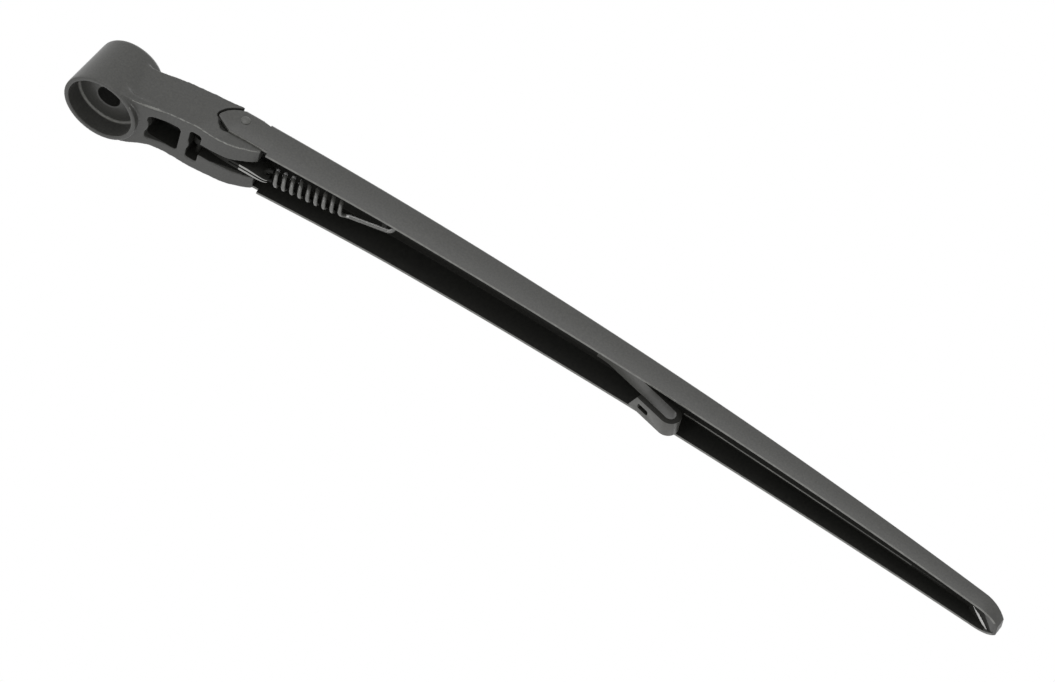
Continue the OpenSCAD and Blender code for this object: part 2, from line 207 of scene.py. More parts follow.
def roundBar(name, places, radius, resolution=None):
    # a thin round bar through the given places, in millimetres
    data = bpy.data.curves.new(name, "CURVE")
    data.dimensions = "3D"
    data.bevel_depth = radius * mm
    if resolution:
        data.bevel_resolution = resolution
    data.use_fill_caps = True
    line = data.splines.new("POLY")
    line.points.add(len(places) - 1)
    for point, place in zip(line.points, places):
        point.co = (place[0] * mm, place[1] * mm, place[2] * mm, 1)
    piece = bpy.data.objects.new(name, data)
    bpy.context.collection.objects.link(piece)
    makeActive(piece)
    bpy.ops.object.convert(target="MESH")
    return bpy.context.object


def setInside(piece, material, test):
    # gives the faces that pass the test a second material
    piece.data.materials.append(material)
    pickFaces(piece, test)
    piece.active_material_index = len(piece.data.materials) - 1
    bpy.ops.object.material_slot_assign()
    bpy.ops.object.mode_set(mode="OBJECT")


def fitFace(was, now):
    # brings the chosen end face from the size of one station to that of the next
    _, low, high, half = was
    x, nextLow, nextHigh, nextHalf = now
    bpy.ops.transform.resize(value=(1, nextHalf / half, (nextHigh - nextLow) / (high - low)),
                             center_override=(x * mm, 0, low * mm))
    bpy.ops.transform.translate(value=(0, 0, (nextLow - low) * mm))


def growBody(sections):
    # a bar whose end face is extruded from station to station: x, low z, high z, half width, all in millimetres
    x0, low, high, half = sections[0]
    piece = box(x0, sections[1][0], -half, half, low, high)
    pickFaces(piece, lambda c, n: n.x > 0.9)
    fitFace(sections[0], sections[1])
    for was, now in zip(sections[1:], sections[2:]):
        bpy.ops.mesh.extrude_region_move(TRANSFORM_OT_translate={"value": ((now[0] - was[0]) * mm, 0, 0)})
        fitFace(was, now)
    bpy.ops.object.mode_set(mode="OBJECT")
    return piece


def finishPiece(piece, name, node, body, material, angle=35):
    bake(piece)
    makeActive(piece)
    bpy.ops.object.shade_smooth_by_angle(angle=math.radians(angle))
    piece.name = name
    piece.data.name = name
    piece.data.materials.clear()
    piece.data.materials.append(material)
    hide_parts(node)
    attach(piece, body)
    print(name, len(piece.data.polygons), "faces")


# Materials

def startMaterial(name):
    mat = bpy.data.materials.new(name)
    mat.use_nodes = True
    tree = mat.node_tree
    place = addNode(tree, "ShaderNodeTexCoord")
    return mat, tree, tree.nodes["Principled BSDF"], place.outputs["Object"]


def noiseOf(tree, place, grainMm, detail, rough=0.5):
    settings = {"Scale": 1 / (grainMm * mm), "Detail": detail, "Roughness": rough}
    return addNode(tree, "ShaderNodeTexNoise", settings, {"Vector": place})


def tintBy(tree, shader, noise, stops):
    # two tones of one surface, blended by a fine noise; each stop is a place on the ramp and a tone
    tone = addNode(tree, "ShaderNodeValToRGB", {}, {"Fac": noise.outputs["Fac"]})
    for element, (position, shade) in zip(tone.color_ramp.elements, stops):
        element.position = position
        element.color = linear(shade)
    tree.links.new(tone.outputs["Color"], shader.inputs["Base Color"])


def roughen(tree, shader, noise, strength, depthMm):
    settings = {"Strength": strength, "Distance": depthMm * mm}
    bump = addNode(tree, "ShaderNodeBump", settings, {"Height": noise.outputs["Fac"]})
    tree.links.new(bump.outputs["Normal"], shader.inputs["Normal"])


def setFinish(shader, **values):
    names = {"rough": "Roughness", "ior": "IOR", "metal": "Metallic", "sheen": "Specular IOR Level"}
    for key, value in values.items():
        shader.inputs[names[key]].default_value = value


def castPaint():
    # zinc die casting under satin black paint: the skin keeps a faint orange peel from the casting
    look = {"paint": "#3a3a38", "fleck": "#484845", "roughness": 0.38, "peelMm": 1.1, "fleckMm": 0.9}
    mat, tree, shader, place = startMaterial("satinPaintOnCasting")
    grain = noiseOf(tree, place, look["fleckMm"], 3, 0.6)
    tintBy(tree, shader, grain, ((0.3, look["paint"]), (0.75, look["fleck"])))
    roughen(tree, shader, noiseOf(tree, place, look["peelMm"], 4, 0.55), 0.35, 0.06)
    setFinish(shader, rough=look["roughness"], ior=1.5)
    return mat


def powderCoat(name, paint, fleck):
    # mild steel under black powder coat: satin, with the fine pebble of powder that flowed out in the oven
    look = {"roughness": 0.38, "pebbleMm": 0.7, "fleckMm": 0.9}
    mat, tree, shader, place = startMaterial(name)
    grain = noiseOf(tree, place, look["fleckMm"], 2, 0.6)
    tintBy(tree, shader, grain, ((0.32, paint), (0.78, fleck)))
    roughen(tree, shader, noiseOf(tree, place, look["pebbleMm"], 2), 0.3, 0.04)
    setFinish(shader, rough=look["roughness"], ior=1.5)
    return mat


def paintedShadeCoat():
    # painted shade: a matt near-black put on the pockets, under the channel's roof, on the hidden sides of the spring,
    # the strip and the link, where the arm's own shade falls
    look = {"shadeTone": "#1b1b19", "dust": "#242421", "roughness": 0.62, "grainMm": 1.4}
    mat, tree, shader, place = startMaterial("paintedShadeBlack")
    grain = noiseOf(tree, place, look["grainMm"], 3)
    tintBy(tree, shader, grain, ((0.35, look["shadeTone"]), (0.8, look["dust"])))
    roughen(tree, shader, grain, 0.2, 0.03)
    setFinish(shader, rough=look["roughness"], sheen=0.2)
    return mat


def paintedEdgeHighlight():
    # painted highlight: a lighter grey put along edges that should catch the light, mottled by a coarse noise
    look = {"paint": "#6a6a66", "lighterTone": "#858581", "roughness": 0.3, "blotchMm": 2.5}
    mat, tree, shader, place = startMaterial("paintedEdgeSheen")
    blotch = noiseOf(tree, place, look["blotchMm"], 4)
    tintBy(tree, shader, blotch, ((0.35, look["paint"]), (0.75, look["lighterTone"])))
    setFinish(shader, rough=look["roughness"], ior=1.5)
    return mat


def springSteel():
    # hard-drawn spring wire, phosphated grey and oiled: smooth and glossy, so its edges catch the light
    look = {"coating": "#5c5c59", "lighterTone": "#6e6e6a", "roughness": 0.22, "drawMm": 0.9}
    mat, tree, shader, place = startMaterial("phosphatedWire")
    draw = noiseOf(tree, place, look["drawMm"], 3)
    tintBy(tree, shader, draw, ((0.4, look["coating"]), (0.75, look["lighterTone"])))
    roughen(tree, shader, draw, 0.15, 0.02)
    setFinish(shader, rough=look["roughness"], ior=1.8)
    return mat


def paintedGlintWhite():
    # painted highlight: near-white put where the spring wire and the inside of the channel's nose should shine
    mat = bpy.data.materials.new("paintedWhiteGlint")
    mat.use_nodes = True
    shader = mat.node_tree.nodes["Principled BSDF"]
    shader.inputs["Base Color"].default_value = linear("#f0f0ee")
    setFinish(shader, rough=0.3, ior=1.8)
    return mat


def linkSteel():
    # blanked and folded strip steel, zinc plated and left unpainted: sheared edges shine
    look = {"metal": "#868684", "worn": "#a8a8a5", "roughness": 0.3, "rollMm": 0.4, "along": 0.15}
    mat, tree, shader, place = startMaterial("platedStripSteel")
    turn = addNode(tree, "ShaderNodeMapping", {"Scale": (look["along"], 1, 1)}, {"Vector": place})
    roll = noiseOf(tree, turn.outputs["Vector"], look["rollMm"], 3)
    tintBy(tree, shader, roll, ((0, look["metal"]), (1, look["worn"])))
    roughen(tree, shader, roll, 0.2, 0.02)
    setFinish(shader, rough=look["roughness"], metal=1)
    return mat


castingPaint = castPaint()
sheetPaint = powderCoat("blackPowderCoatOnSteel", "#3d3d3b", "#4a4a47")
# the strip's own lighter coat, also used as the dimmer end of the painted highlight along the channel's far inner bend
stripCoatAndBendHighlight = powderCoat("stripCoatAlsoBendHighlight", "#50504d", "#5c5c59")
# the next three are painted light: near-black painted shade, a lighter painted edge highlight and a near-white painted
# glint
paintedShade = paintedShadeCoat()
edgeHighlight = paintedEdgeHighlight()
glintWhite = paintedGlintWhite()
wireFinish = springSteel()
plateFinish = linkSteel()
print("materials ready")


# Shapes that several pieces share, in millimetres: close to the part's values, set by the photo

hinge = {"x": 57.7, "z": 14.4}
linkPin = {"x": 43.8, "z": 5.0}
anchor = {"x": 131.0, "z": 13.4}
arm = {
    "reach": 452, "wall": 1.3, "baseWidth": 29.9, "tipWidth": 15.4, "baseHeight": 14.63, "tipHeight": 8.2,
    "bend": 1.7, "bow": 3120, "bowX": 165, "bowZ": 6.82, "noseLength": 13, "start": 47.3,
    "skirtDrop": 2.0, "skirtLength": 90, "skirtPower": 1.4, "stepX": 74.1, "earFoot": 0.75, "roofStart": 68.3,
    # how far the handles of the width and height curves stand off the ends, and how the nose closes
    "widthIn": 6.6, "widthOut": 10, "heightUp": 0.8, "heightOut": 2.5,
    "noseFull": 0.94, "nosePower": 2.4, "noseRise": 0.34,
    # outline of the ear: x, low z, high z
    "ear": [(47.0, 9.7, 10.7), (47.6, 9.3, 12.0), (48.9, 8.5, 14.2),
            (51, 7.4, 16.1), (53.2, 6.2, 17.6), (55.4, 5.2, 18.7)],
}
noseX = arm["reach"] - arm["noseLength"]
lineAngle = math.atan2(anchor["z"] - linkPin["z"], anchor["x"] - linkPin["x"])
lineLength = math.hypot(anchor["x"] - linkPin["x"], anchor["z"] - linkPin["z"])


def curveOf(t, a, b, c, d):
    return a * (1 - t) ** 3 + 3 * b * t * (1 - t) ** 2 + 3 * c * t * t * (1 - t) + d * t ** 3


def armAlong(x):
    return (x - arm["start"]) / (noseX - arm["start"])


def bowLine(x):
    return arm["bowZ"] - (x - arm["bowX"]) ** 2 / (2 * arm["bow"])


def deeper(x):
    return arm["skirtDrop"] * ramp(1 - (x - arm["start"]) / arm["skirtLength"]) ** arm["skirtPower"]


def footZ(x):
    return bowLine(x) - deeper(x)


def armHalf(x):
    base, tip = arm["baseWidth"], arm["tipWidth"]
    body = curveOf(armAlong(min(x, noseX)), base, base - arm["widthIn"], tip + arm["widthOut"], tip) / 2
    into = max(0, (x - noseX) / arm["noseLength"])
    return body * math.sqrt(max(0, 1 - (into * arm["noseFull"]) ** arm["nosePower"]))


def armHigh(x):
    base, tip = arm["baseHeight"], arm["tipHeight"]
    side = curveOf(armAlong(min(x, noseX)), base, base + arm["heightUp"], tip + arm["heightOut"], tip)
    into = max(0, (x - noseX) / arm["noseLength"])
    return side + deeper(x) - arm["noseRise"] * tip * into ** 2


def roofZ(x):
    return footZ(x) + armHigh(x)


# Cast mounting head

def makeHead():
    hub = {"rimRadius": 17.85, "topRadius": 15.2, "low": -9, "high": 20, "cupRadius": 15.7, "bore": 5.5,
           "boreTop": 11, "nut": 10, "edge": 2.1, "boss": 1.1, "rimBand": 1.5, "ledge": 0.7}
    body = {
        "stations": [
            # x, low z, high z, half width
            (2, -7.0, 14.4, 13.7), (6, -7.0, 14.6, 13.8), (10, -6.8, 14.8, 13.6), (14, -5.9, 15.2, 13.2),
            (18, -4.4, 15.9, 13.0), (22, -3.2, 16.9, 13.1), (25.5, -2.6, 17.5, 13.2), (29, -2.1, 18.0, 13.4),
            (32.5, -1.8, 18.3, 13.6), (36, -1.6, 18.5, 13.9), (39, -1.4, 18.7, 14.2), (42, -1.3, 18.8, 14.5),
            (48, -1.2, 19.1, 14.8), (53, -1.0, 19.9, 14.8), (57.7, -0.5, 20.4, 14.8), (62, 0.5, 20.7, 14.8),
            (64.5, 1.6, 19.9, 14.8), (66.3, 2.3, 19.5, 14.8), (66.9, 2.5, 18.2, 13.4), (69.4, 3.7, 18.2, 13.4),
            (71.2, 4.9, 17.8, 13.4)],
        "edge": 0.9, "flank": 14.8, "flankLow": -1.5,
    }
    head = growBody(body["stations"])
    # at the hub the flanks flare out low down, towards the rim
    cutWith(head, growBody([(3, -7.9, -3, 16.9), (8, -7.8, -3, 16.3), (12, -7.3, -2.8, 15.5), (16, -6.2, -2.4, 14.7),
                            (20, -4.7, -1.8, 14.0), (24, -3.3, -1.2, 13.4), (28, -2.3, -0.6, 13.2)]), "UNION")
    # the flanks draw in under the ears in a few planes, down to the depth of the recess
    slants = {"planes": [(36, 0.05, 0.05), (40, 0.11, 0.09), (44, 0.18, 0.12), (47, 0.24, 0.14)], "keep": 13.55}
    for side in (-1, 1):
        for x, perX, perZ in slants["planes"]:
            y0, y1 = sorted((0, side * 12))
            wedge = box(-20, 60, y0, y1, -30, 50)
            wedge.rotation_euler = (-side * math.atan(perZ), 0, -side * math.atan(perX))
            wedge.location = (x * mm, side * body["flank"] * mm, body["flankLow"] * mm)
            bake(wedge)
            cutWith(wedge, box(-80, 160, -slants["keep"], slants["keep"], -90, 90))
            cutWith(head, wedge)
    useModifier(head, "BEVEL", width=body["edge"] * mm, segments=4, limit_method="ANGLE", angle_limit=math.radians(50))

    # a shallow groove in the underside, round the rim
    relief = {"radius": 18.8, "radiusTop": 17.9, "top": -2.6, "from": -9.5, "to": 4.5}
    groove = post(0, 0, relief["radius"], -12, relief["top"], radiusTop=relief["radiusTop"])
    cutWith(groove, box(-30, 30, relief["to"], 30, -20, 20))
    cutWith(groove, box(-30, 30, -30, relief["from"], -20, 20))
    cutWith(head, groove)

    cup = post(0, 0, hub["rimRadius"], hub["low"] + hub["rimBand"], hub["high"], radiusTop=hub["topRadius"])
    pickFaces(cup, lambda c, n: n.z > 0.9)
    bpy.ops.mesh.bevel(offset=hub["edge"] * mm, segments=6, affect="EDGES")
    bpy.ops.object.mode_set(mode="OBJECT")
    pickFaces(cup, lambda c, n: n.z < -0.9)
    bpy.ops.mesh.extrude_region_move(TRANSFORM_OT_translate={"value": (0, 0, -hub["rimBand"] * mm)})
    bpy.ops.object.mode_set(mode="OBJECT")
    cutWith(head, cup, "UNION")

    cutWith(head, post(0, 0, hub["cupRadius"], hub["low"] - 2, 0))
    # the cup's floor rises a little towards the bore
    boss = post(0, 0, hub["bore"] + hub["ledge"], -hub["boss"], 0.1, radiusTop=hub["cupRadius"] - hub["ledge"])
    cutWith(head, boss, "UNION")
    cutWith(head, post(0, 0, hub["bore"], -2, hub["boreTop"] + 2, 64))
    cutWith(head, post(0, 0, hub["nut"], hub["boreTop"], hub["high"] + 4))

    pockets = {"low": -9, "windowFrom": 20.8, "windowTo": 35.8, "windowHalf": 7.25, "windowFar": 1.1, "windowRound": 2,
               "crossFrom": 40.1, "crossTo": 45.7, "crossHalf": 9.2, "crossRound": 1.5, "slotHalf": 3.8,
               "windowTop": 9, "crossTop": 13, "slotTop": 16.4, "end": 80, "flareFrom": 58.5, "flare": 1.6,
               "arc": 8.2, "arcIn": 7.2, "crossArc": (34.8, 0.8, 6)}
    low, slotHalf = pockets["low"], pockets["slotHalf"]
    windowHalf, crossHalf = pockets["windowHalf"], pockets["crossHalf"]
    window = box(pockets["windowFrom"], pockets["windowTo"], -windowHalf, windowHalf + pockets["windowFar"],
                 low, pockets["windowTop"], pockets["windowRound"])
    cutWith(window, post(pockets["windowFrom"] - pockets["arcIn"], 0, pockets["arc"], -12, 12))
    cutWith(head, window)
    cross = box(pockets["crossFrom"], pockets["crossTo"], -crossHalf, crossHalf,
                low, pockets["crossTop"], pockets["crossRound"])
    cutWith(cross, post(*pockets["crossArc"], -12, 20))
    cutWith(head, cross)
    cutWith(head, box(pockets["crossFrom"] + 3, pockets["end"], -slotHalf, slotHalf, low, pockets["slotTop"]))
    cutWith(head, box(hinge["x"] + 3.4, pockets["end"], -slotHalf, slotHalf, low, 30))
    flare = box(pockets["flareFrom"], 74, -slotHalf, slotHalf, low, pockets["slotTop"])
    pickFaces(flare, lambda c, n: n.x > 0.9)
    bpy.ops.transform.resize(value=(1, pockets["flare"], 1), center_override=(0, 0, 0))
    bpy.ops.object.mode_set(mode="OBJECT")
    cutWith(head, flare)

    # recess for the ear: it follows the ear above, and the ear's swing below
    recess = {"inner": 11.2, "swing": 11.8, "above": 0.8, "lap": 0.4, "ahead": 1.1, "step": 0.6, "boss": 6.4}
    tall = [(x - recess["ahead"], low, high + recess["above"]) for x, low, high in arm["ear"]]
    tall += [(58, 5.2, 21.5), (90, 5.2, 40)]
    room = growBody([(x, low, high, 30) for x, low, high in tall])
    swing = rod(hinge["x"], hinge["z"], recess["swing"], -30, 30, 96)
    cutWith(swing, box(30, 90, -40, 40, arm["ear"][0][2] + recess["above"] - recess["step"], 60))
    cutWith(room, swing, "UNION")
    cutWith(room, rod(hinge["x"], hinge["z"], recess["boss"], -30, 30, 64), "UNION")
    ledge = [(46, 3.6), (50, 4.1), (52.5, 4.7), (54.5, 5.5)]
    ledge += [(x, bowLine(x) + arm["earFoot"] + recess["lap"]) for x in (56, 90)]
    cutWith(room, growBody([(x, -20, top, 45) for x, top in ledge]))
    cutWith(room, box(20, 100, -recess["inner"], recess["inner"], -20, 60))
    cutWith(head, room)

    skin = {"voxel": 0.34, "rounds": 4}
    useModifier(head, "REMESH", mode="VOXEL", voxel_size=skin["voxel"] * mm, use_smooth_shade=True)
    useModifier(head, "SMOOTH", factor=0.5, iterations=skin["rounds"])

    # the hub runs into the flanks in a wide cast fillet
    fillet = {"from": 1, "full": 6, "fade": 19, "to": 27, "rounds": 160}

    group = head.vertex_groups.new(name="filletZone")
    for v in head.data.vertices:
        x, y, z = v.co.x / mm, abs(v.co.y) / mm, v.co.z / mm
        r = math.hypot(x, y)
        rise = ramp((x - fillet["from"]) / (fillet["full"] - fillet["from"]))
        fall = ramp((fillet["to"] - x) / (fillet["to"] - fillet["fade"]))
        outside = ramp((y - 8.5) / 2) * ramp((z + 6.5) / 4) * ramp((15.5 - z) / 3)
        weight = rise * fall * outside
        if weight > 0 and r > 11 and (r > 16.2 or z > 1):
            group.add([v.index], weight, "REPLACE")
    useModifier(head, "SMOOTH", factor=0.5, iterations=fillet["rounds"], vertex_group="filletZone")

    finishPiece(head, "headCasting", "mounting_head", "head", castingPaint, 60)

    # painted shade: the faces in the pockets, the slot and the bore are painted near-black, as shade falls there
    def inPocket(c, n):
        x, y, z = c.x / mm, abs(c.y) / mm, c.z / mm
        near = 0.4
        inWindow = pockets["windowFrom"] - 1 < x < pockets["windowTo"] + near and y < windowHalf + 1.5 and z > -1.3
        inCross = pockets["crossFrom"] - near < x < pockets["crossTo"] + near and y < crossHalf + near and z > -0.7
        slotSide = slotHalf + near + max(0, x - 60) * 0.25
        slotLow = -0.7 + max(0, x - 52) * 0.3
        inSlot = pockets["crossFrom"] < x < 73 and y < slotSide and slotLow < z < 16.8
        boreSide = (hub["nut"] if z > 3 else hub["bore"]) + near
        inBore = math.hypot(x, y) < boreSide and -0.7 < z < 19 and abs(n.z) < 0.8
        return (inWindow or inCross or inSlot) and z < 17 or inBore

    # painted highlight: the lower edges of the flanks and the step round the cup floor are painted lighter, where they
    # should catch the light
    def onEdge(c, n):
        x, y, z, r = c.x / mm, abs(c.y) / mm, c.z / mm, math.hypot(c.x, c.y) / mm
        side = n.y if c.y > 0 else -n.y
        flank = x > 13 and y > 11 and z < 6 and side > 0.28 and n.z < -0.28
        step = abs(r - hub["cupRadius"] + 0.5) < 0.55 and -0.7 < z < 0.3 and c.y > -4 * mm
        return flank or step

    # painted shade in the pockets and the bore; after it, painted highlight on the lower edges
    setInside(head, paintedShade, inPocket)
    setInside(head, edgeHighlight, onEdge)


makeHead()


# Sheet-steel channel

def makeChannel():
    shape = {"step": 7, "edge": 0.32}
    stations = []
    x = arm["start"] - 1
    while x < noseX - 2:
        stations.append(x)
        x += shape["step"]
    stations += [noseX + step for step in (0, 2.6, 5, 7.2, 9, 10.5, 11.7, 12.5)] + [arm["reach"]]
    x0, x1 = stations[0], stations[1]
    half = armHalf(x0)
    channel = box(x0, x1, -half, half, footZ(x0), roofZ(x0))
    pickFaces(channel, lambda c, n: n.z < -0.9 or abs(n.x) > 0.9)
    bpy.ops.mesh.delete(type="FACE")
    bpy.ops.mesh.select_mode(type="EDGE")
    bpy.ops.object.mode_set(mode="OBJECT")
    for edge in channel.data.edges:
        a, b = (channel.data.vertices[i].co for i in edge.vertices)
        edge.select = abs(a.x - b.x) > 1 * mm and a.z > (footZ(x0) + 5) * mm
    bpy.ops.object.mode_set(mode="EDIT")
    bpy.ops.mesh.bevel(offset=arm["bend"] * mm, segments=6, affect="EDGES")
    bpy.ops.object.mode_set(mode="OBJECT")

    def fitEnd(was, now):
        bpy.ops.transform.resize(value=(1, armHalf(now) / armHalf(was), armHigh(now) / armHigh(was)),
                                 center_override=(0, 0, footZ(was) * mm))
        bpy.ops.transform.translate(value=(0, 0, (footZ(now) - footZ(was)) * mm))

    pickEnd(channel, x1)
    fitEnd(x0, x1)
    for was, now in zip(stations[1:], stations[2:]):
        bpy.ops.mesh.extrude_region_move(TRANSFORM_OT_translate={"value": ((now - was) * mm, 0, 0)})
        fitEnd(was, now)
    bpy.ops.mesh.edge_face_add()
    bpy.ops.mesh.select_all(action="SELECT")
    bpy.ops.mesh.remove_doubles(threshold=0.00001)
    bpy.ops.mesh.normals_make_consistent(inside=False)
    bpy.ops.object.mode_set(mode="OBJECT")
    if sum(f.normal.z for f in channel.data.polygons) < 0:
        bpy.ops.object.mode_set(mode="EDIT")
        bpy.ops.mesh.flip_normals()
        bpy.ops.object.mode_set(mode="OBJECT")
    useModifier(channel, "SOLIDIFY", thickness=arm["wall"] * mm, offset=-1,
                use_even_offset=True, use_quality_normals=True)

    last = arm["ear"][-1]
    outside = box(arm["start"] - 12, last[0], -40, 40, -30, 60)
    ear = arm["ear"] + [(last[0] + 6, last[1], last[2] + 3)]
    cutWith(outside, growBody([(x, low, high, 50) for x, low, high in ear]))
    cutWith(channel, outside)
    inner = armHalf(arm["roofStart"]) - arm["wall"]
    cutWith(channel, box(arm["start"] - 12, arm["roofStart"], -inner, inner, -10, 60))
    below = growBody([(x, -20, bowLine(x) + arm["earFoot"], 40)
                      for x in (arm["start"] - 5, 60, arm["stepX"] - 0.01, arm["stepX"])])
    cutWith(channel, below)
    # a slanted notch in both walls, just before the roof starts
    cut = {"from": 2.2, "to": 0.2, "deep": 1.5, "back": 1.6, "rise": 0.6}
    notch = box(arm["roofStart"] - cut["from"], arm["roofStart"] - cut["to"], -40, 40, roofZ(68) - cut["deep"], 60)
    pickFaces(notch, lambda c, n: n.x < -0.9)
    bpy.ops.transform.translate(value=(-cut["back"] * mm, 0, cut["rise"] * mm))
    bpy.ops.object.mode_set(mode="OBJECT")
    cutWith(channel, notch)
    useModifier(channel, "BEVEL", width=shape["edge"] * mm, segments=2, limit_method="ANGLE",
                angle_limit=math.radians(48), use_clamp_overlap=True)

    # the metal gathered in the tip leaves a long slope inside the nose
    toe = growBody([(x, footZ(x) + max(0.25, (450 - x) * 0.4), roofZ(x) - 0.5, max(0.6, armHalf(x) - 0.6))
                    for x in (435, 438, 441, 443.5, 445.5, 447.5, 449, 450.2, 451)])
    useModifier(toe, "REMESH", mode="VOXEL", voxel_size=0.4 * mm, use_smooth_shade=True)

    # rounded edges that catch the light: the far inner bend and the feet of both ears
    bead = {"radius": 0.42, "in": 0.12, "fromWall": 1.6, "foot": 0.36, "down": 0.06}
    bend = [(x, armHalf(x) - arm["wall"] - bead["fromWall"], roofZ(x) - arm["wall"] - bead["in"])
            for x in range(284, 427, 6)]
    beads = [roundBar("bead", bend, bead["radius"])]
    for side in (-1, 1):
        foot = [(x, side * (armHalf(x) - bead["foot"]), bowLine(x) + arm["earFoot"] + bead["foot"] - bead["down"])
                for x in (55, 58, 61, 64, 67, 70, 73.9)]
        beads.append(roundBar("bead", foot, bead["radius"]))
    makeActive(channel)
    for part in [toe] + beads:
        part.select_set(True)
    bpy.ops.object.join()
    finishPiece(channel, "armChannel", "arm_channel", "arm", sheetPaint, 32)

    def isInside(c, n):
        # painted shade: under the roof, on the inner walls and in the nose the sheet is painted near-black where shade
        # falls
        x, y, z = c.x / mm, c.y / mm, c.z / mm
        half, low, high = armHalf(x), footZ(x), roofZ(x)
        underRoof = abs(y) < half - 0.9 and n.z < -0.35 and low + 1.2 < z < high - 0.7
        sideIn = low + 0.6 < z < high - 0.9 and half - 2.0 < abs(y) < half - 0.8 and n.y * y < 0
        toeShade = 434 < x < min(451, 446 + 1.1 * y) and abs(y) < half - 0.45 and n.z < -0.2 and z > low + 0.2
        return 60 < x < 434 and (underRoof or sideIn) or 434 <= x < 446 and sideIn or toeShade

    def onFoot(c, n):
        # painted highlight along the lower edges of both walls
        x, z = c.x / mm, c.z / mm
        low = bowLine(x) + arm["earFoot"] if x < arm["stepX"] - 0.5 else footZ(x)
        return n.z < -0.3 and z < low + 0.4 and arm["start"] + 6 < x < 450.5 and abs(c.y) / mm > armHalf(x) - 1.3

    def onInnerBend(start, end):
        # the far inner bend, between two places along the arm: a painted highlight line goes there
        def test(c, n):
            x = c.x / mm
            inBand = 2 < armHalf(x) - c.y / mm < 4 and 1.1 < roofZ(x) - c.z / mm < 2.2
            return start <= x < end and inBand and n.y < -0.15 and n.z < 0.2

        return test

    # painted highlight: a near-white band along the far side of the slope in the nose stands for a reflection
    def onToeShine(c, n):
        x, y = c.x / mm, c.y / mm
        wide = 1.1 * math.sin(math.pi * ramp((x - 437) / 11.3))
        return n.z < -0.3 and abs(y - 2.3 - 0.33 * (x - 438)) < wide and c.z / mm < roofZ(x) - 1.0

    setInside(channel, paintedShade, isInside)
    setInside(channel, edgeHighlight, onFoot)
    # painted highlight along the far inner bend: the lighter edge grey first, then the dimmer strip coat as it fades
    setInside(channel, edgeHighlight, onInnerBend(283, 362))
    setInside(channel, stripCoatAndBendHighlight, onInnerBend(362, 405))
    setInside(channel, glintWhite, onToeShine)


makeChannel()


# Rivet through the hinge, with low domed heads

def makeRivet():
    rivet = {"shank": 2.0, "head": 2.15, "dome": 0.75, "proud": 0.08}
    reach = armHalf(hinge["x"]) + rivet["proud"]
    piece = rod(hinge["x"], hinge["z"], rivet["shank"], -reach, reach, 48)
    for side in (-1, 1):
        deselectAll()
        bpy.ops.mesh.primitive_uv_sphere_add(segments=48, ring_count=24, radius=1, location=(0, 0, 0),
                                             rotation=(math.pi / 2, 0, 0))
        dome = bpy.context.object
        dome.scale = (rivet["head"] * mm, rivet["head"] * mm, rivet["dome"] * mm)
        dome.location = (hinge["x"] * mm, side * reach * mm, hinge["z"] * mm)
        bake(dome)
        y0, y1 = sorted((side * (reach - 5), side * reach))
        cutWith(dome, box(hinge["x"] - 9, hinge["x"] + 9, y0, y1, hinge["z"] - 9, hinge["z"] + 9))
        cutWith(piece, dome, "UNION")
    finishPiece(piece, "hingeRivet", "hinge_rivet", "arm", stripCoatAndBendHighlight, 40)


makeRivet()


# Folded link between the pin and the spring

def makeLink():
    link = {"plate": 1.3, "gap": 1.0, "eye": 32.3, "eyeRadius": 1.3, "eyeDrop": 1.9, "pinHole": 1.75,
            "foldEnd": 15, "narrowBy": 1.15, "narrowFrom": 8.2, "narrowOver": 11, "wayIn": 1.1, "edge": 0.3}
    half = (2 * link["plate"] + link["gap"]) / 2
    e = link["eye"]
    # along the link: station, low edge, high edge
    outline = [(-3.2, -0.9, 0.9), (-2.6, -1.8, 1.9), (-1.5, -2.5, 2.8), (0, -2.7, 3.1), (1.8, -2.7, 2.8),
               (3.2, -2.8, 2.4), (6, -3.3, 1.0), (9.4, -4.0, -1.1), (13, -4.5, -2.3), (16.6, -4.9, -2.6),
               (e - 12.2, -5.1, -2.3), (e - 10.2, -5.25, -1.4), (e - 8.2, -5.4, 0.4), (e - 5.6, -5.7, 2.0),
               (e - 2.6, -6.0, 2.9), (e - 0.4, -6.1, 3.0), (e + 1.0, -5.9, 2.6), (e + 1.7, -5.5, 1.4)]

    def halfAt(s):
        # the two plates come together towards the eye
        return half - link["narrowBy"] * max(0, (s - e + link["narrowFrom"]) / link["narrowOver"]) ** 1.5

    piece = growBody([(s, low, high, halfAt(s)) for s, low, high in outline])
    cutWith(piece, box(link["foldEnd"], 60, -link["gap"] / 2, link["gap"] / 2, -20, 20))
    cutWith(piece, rod(0, 0, link["pinHole"], -9, 9, 48))
    cutWith(piece, box(-link["wayIn"], link["wayIn"], -9, 9, 0, 9))
    cutWith(piece, rod(e, -link["eyeDrop"], link["eyeRadius"], -9, 9, 40))
    useModifier(piece, "BEVEL", width=link["edge"] * mm, segments=2, limit_method="ANGLE",
                angle_limit=math.radians(50))
    piece.rotation_euler = (0, -lineAngle, 0)
    piece.location = (linkPin["x"] * mm, 0, linkPin["z"] * mm)
    finishPiece(piece, "springLink", "spring_link", "link", plateFinish, 40)
    # only the sheared lower edges of the free end keep the bare plating; the rest gets the painted shade, near-black
    setInside(piece, paintedShade, lambda c, n: not (n.z < -0.55 and c.x > (linkPin["x"] + 20) * mm))


makeLink()


# Tension spring, one length of wire

